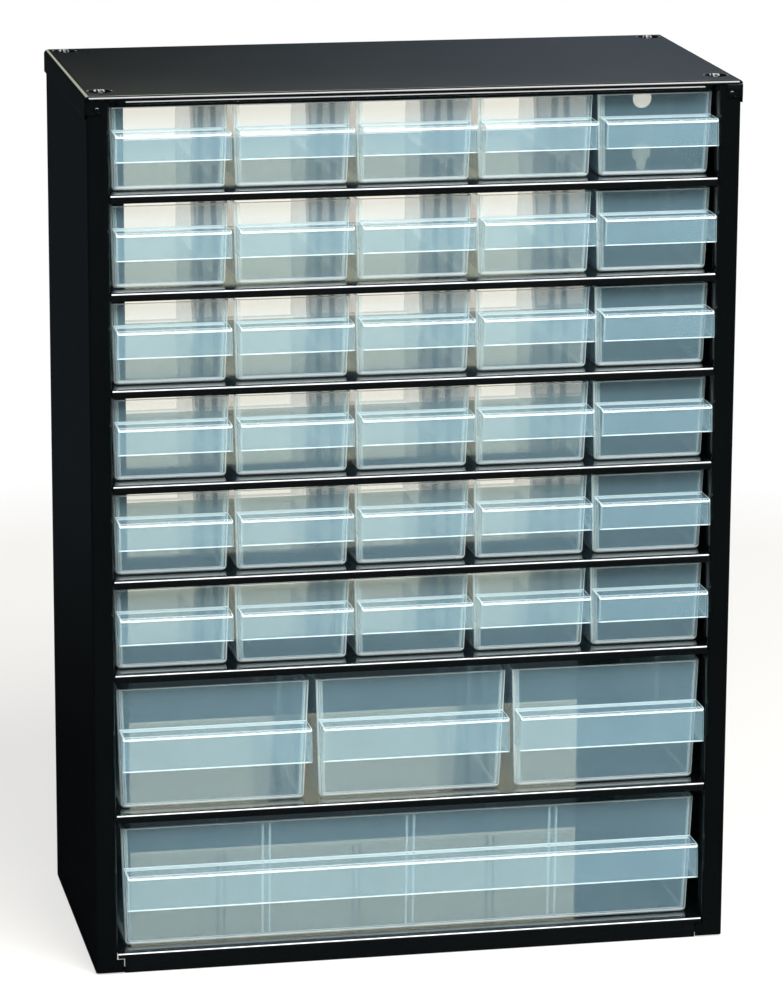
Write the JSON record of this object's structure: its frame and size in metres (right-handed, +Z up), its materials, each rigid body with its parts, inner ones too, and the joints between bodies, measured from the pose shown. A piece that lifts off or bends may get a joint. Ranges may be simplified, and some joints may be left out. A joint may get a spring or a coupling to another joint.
{
  "type": "parts bin cabinet",
  "caption": "Upright sheet-steel cabinet, open at the back, with rows of clear pull-out drawers on steel shelves, small ones above and deep ones below.",
  "frame": {"origin": "under the middle of the whole object, on the surface it stands on", "axes": "+Z up, the drawer fronts face -Y and the drawers pull out along -Y, +X to the right seen from the front"},
  "size_m": [0.306, 0.155, 0.417],
  "materials": {
    "black_enamelled_steel": "gloss black stoved enamel on folded sheet steel",
    "black_rivet": "black enamelled rivet heads",
    "clear_polypropylene": "translucent moulded polypropylene, pale blue at the edges"
  },
  "bodies": {
    "cabinet": {"top_cap": "black_enamelled_steel", "right_side_panel": "black_enamelled_steel", "left_side_panel": "black_enamelled_steel", "base_panel": "black_enamelled_steel", "tab_rivets": "black_rivet", "shelf_1": "black_enamelled_steel", "shelf_2": "black_enamelled_steel", "shelf_3": "black_enamelled_steel", "shelf_4": "black_enamelled_steel", "shelf_5": "black_enamelled_steel", "shelf_6": "black_enamelled_steel", "shelf_7": "black_enamelled_steel"},
    "drawer_r1_c1": {"drawer_r1_c1": "clear_polypropylene"},
    "drawer_r1_c2": {"drawer_r1_c2": "clear_polypropylene"},
    "drawer_r1_c3": {"drawer_r1_c3": "clear_polypropylene"},
    "drawer_r1_c4": {"drawer_r1_c4": "clear_polypropylene"},
    "drawer_r1_c5": {"drawer_r1_c5": "clear_polypropylene"},
    "drawer_r2_c1": {"drawer_r2_c1": "clear_polypropylene"},
    "drawer_r2_c2": {"drawer_r2_c2": "clear_polypropylene"},
    "drawer_r2_c3": {"drawer_r2_c3": "clear_polypropylene"},
    "drawer_r2_c4": {"drawer_r2_c4": "clear_polypropylene"},
    "drawer_r2_c5": {"drawer_r2_c5": "clear_polypropylene"},
    "drawer_r3_c1": {"drawer_r3_c1": "clear_polypropylene"},
    "drawer_r3_c2": {"drawer_r3_c2": "clear_polypropylene"},
    "drawer_r3_c3": {"drawer_r3_c3": "clear_polypropylene"},
    "drawer_r3_c4": {"drawer_r3_c4": "clear_polypropylene"},
    "drawer_r3_c5": {"drawer_r3_c5": "clear_polypropylene"},
    "drawer_r4_c1": {"drawer_r4_c1": "clear_polypropylene"},
    "drawer_r4_c2": {"drawer_r4_c2": "clear_polypropylene"},
    "drawer_r4_c3": {"drawer_r4_c3": "clear_polypropylene"},
    "drawer_r4_c4": {"drawer_r4_c4": "clear_polypropylene"},
    "drawer_r4_c5": {"drawer_r4_c5": "clear_polypropylene"},
    "drawer_r5_c1": {"drawer_r5_c1": "clear_polypropylene"},
    "drawer_r5_c2": {"drawer_r5_c2": "clear_polypropylene"},
    "drawer_r5_c3": {"drawer_r5_c3": "clear_polypropylene"},
    "drawer_r5_c4": {"drawer_r5_c4": "clear_polypropylene"},
    "drawer_r5_c5": {"drawer_r5_c5": "clear_polypropylene"},
    "drawer_r6_c1": {"drawer_r6_c1": "clear_polypropylene"},
    "drawer_r6_c2": {"drawer_r6_c2": "clear_polypropylene"},
    "drawer_r6_c3": {"drawer_r6_c3": "clear_polypropylene"},
    "drawer_r6_c4": {"drawer_r6_c4": "clear_polypropylene"},
    "drawer_r6_c5": {"drawer_r6_c5": "clear_polypropylene"},
    "drawer_r7_c1": {"drawer_r7_c1": "clear_polypropylene"},
    "drawer_r7_c2": {"drawer_r7_c2": "clear_polypropylene"},
    "drawer_r7_c3": {"drawer_r7_c3": "clear_polypropylene"},
    "drawer_r8_c1": {"drawer_r8_c1": "clear_polypropylene"}
  },
  "joints": [
    {"name": "drawer_r1_c1_slide", "type": "slide", "parent": "cabinet", "child": "drawer_r1_c1", "axis": [0, -1, 0], "range_m": [0, 0.12]},
    {"name": "drawer_r1_c2_slide", "type": "slide", "parent": "cabinet", "child": "drawer_r1_c2", "axis": [0, -1, 0], "range_m": [0, 0.12]},
    {"name": "drawer_r1_c3_slide", "type": "slide", "parent": "cabinet", "child": "drawer_r1_c3", "axis": [0, -1, 0], "range_m": [0, 0.12]},
    {"name": "drawer_r1_c4_slide", "type": "slide", "parent": "cabinet", "child": "drawer_r1_c4", "axis": [0, -1, 0], "range_m": [0, 0.12]},
    {"name": "drawer_r1_c5_slide", "type": "slide", "parent": "cabinet", "child": "drawer_r1_c5", "axis": [0, -1, 0], "range_m": [0, 0.12]},
    {"name": "drawer_r2_c1_slide", "type": "slide", "parent": "cabinet", "child": "drawer_r2_c1", "axis": [0, -1, 0], "range_m": [0, 0.12]},
    {"name": "drawer_r2_c2_slide", "type": "slide", "parent": "cabinet", "child": "drawer_r2_c2", "axis": [0, -1, 0], "range_m": [0, 0.12]},
    {"name": "drawer_r2_c3_slide", "type": "slide", "parent": "cabinet", "child": "drawer_r2_c3", "axis": [0, -1, 0], "range_m": [0, 0.12]},
    {"name": "drawer_r2_c4_slide", "type": "slide", "parent": "cabinet", "child": "drawer_r2_c4", "axis": [0, -1, 0], "range_m": [0, 0.12]},
    {"name": "drawer_r2_c5_slide", "type": "slide", "parent": "cabinet", "child": "drawer_r2_c5", "axis": [0, -1, 0], "range_m": [0, 0.12]},
    {"name": "drawer_r3_c1_slide", "type": "slide", "parent": "cabinet", "child": "drawer_r3_c1", "axis": [0, -1, 0], "range_m": [0, 0.12]},
    {"name": "drawer_r3_c2_slide", "type": "slide", "parent": "cabinet", "child": "drawer_r3_c2", "axis": [0, -1, 0], "range_m": [0, 0.12]},
    {"name": "drawer_r3_c3_slide", "type": "slide", "parent": "cabinet", "child": "drawer_r3_c3", "axis": [0, -1, 0], "range_m": [0, 0.12]},
    {"name": "drawer_r3_c4_slide", "type": "slide", "parent": "cabinet", "child": "drawer_r3_c4", "axis": [0, -1, 0], "range_m": [0, 0.12]},
    {"name": "drawer_r3_c5_slide", "type": "slide", "parent": "cabinet", "child": "drawer_r3_c5", "axis": [0, -1, 0], "range_m": [0, 0.12]},
    {"name": "drawer_r4_c1_slide", "type": "slide", "parent": "cabinet", "child": "drawer_r4_c1", "axis": [0, -1, 0], "range_m": [0, 0.12]},
    {"name": "drawer_r4_c2_slide", "type": "slide", "parent": "cabinet", "child": "drawer_r4_c2", "axis": [0, -1, 0], "range_m": [0, 0.12]},
    {"name": "drawer_r4_c3_slide", "type": "slide", "parent": "cabinet", "child": "drawer_r4_c3", "axis": [0, -1, 0], "range_m": [0, 0.12]},
    {"name": "drawer_r4_c4_slide", "type": "slide", "parent": "cabinet", "child": "drawer_r4_c4", "axis": [0, -1, 0], "range_m": [0, 0.12]},
    {"name": "drawer_r4_c5_slide", "type": "slide", "parent": "cabinet", "child": "drawer_r4_c5", "axis": [0, -1, 0], "range_m": [0, 0.12]},
    {"name": "drawer_r5_c1_slide", "type": "slide", "parent": "cabinet", "child": "drawer_r5_c1", "axis": [0, -1, 0], "range_m": [0, 0.12]},
    {"name": "drawer_r5_c2_slide", "type": "slide", "parent": "cabinet", "child": "drawer_r5_c2", "axis": [0, -1, 0], "range_m": [0, 0.12]},
    {"name": "drawer_r5_c3_slide", "type": "slide", "parent": "cabinet", "child": "drawer_r5_c3", "axis": [0, -1, 0], "range_m": [0, 0.12]},
    {"name": "drawer_r5_c4_slide", "type": "slide", "parent": "cabinet", "child": "drawer_r5_c4", "axis": [0, -1, 0], "range_m": [0, 0.12]},
    {"name": "drawer_r5_c5_slide", "type": "slide", "parent": "cabinet", "child": "drawer_r5_c5", "axis": [0, -1, 0], "range_m": [0, 0.12]},
    {"name": "drawer_r6_c1_slide", "type": "slide", "parent": "cabinet", "child": "drawer_r6_c1", "axis": [0, -1, 0], "range_m": [0, 0.12]},
    {"name": "drawer_r6_c2_slide", "type": "slide", "parent": "cabinet", "child": "drawer_r6_c2", "axis": [0, -1, 0], "range_m": [0, 0.12]},
    {"name": "drawer_r6_c3_slide", "type": "slide", "parent": "cabinet", "child": "drawer_r6_c3", "axis": [0, -1, 0], "range_m": [0, 0.12]},
    {"name": "drawer_r6_c4_slide", "type": "slide", "parent": "cabinet", "child": "drawer_r6_c4", "axis": [0, -1, 0], "range_m": [0, 0.12]},
    {"name": "drawer_r6_c5_slide", "type": "slide", "parent": "cabinet", "child": "drawer_r6_c5", "axis": [0, -1, 0], "range_m": [0, 0.12]},
    {"name": "drawer_r7_c1_slide", "type": "slide", "parent": "cabinet", "child": "drawer_r7_c1", "axis": [0, -1, 0], "range_m": [0, 0.12]},
    {"name": "drawer_r7_c2_slide", "type": "slide", "parent": "cabinet", "child": "drawer_r7_c2", "axis": [0, -1, 0], "range_m": [0, 0.12]},
    {"name": "drawer_r7_c3_slide", "type": "slide", "parent": "cabinet", "child": "drawer_r7_c3", "axis": [0, -1, 0], "range_m": [0, 0.12]},
    {"name": "drawer_r8_c1_slide", "type": "slide", "parent": "cabinet", "child": "drawer_r8_c1", "axis": [0, -1, 0], "range_m": [0, 0.12]}
  ]
}
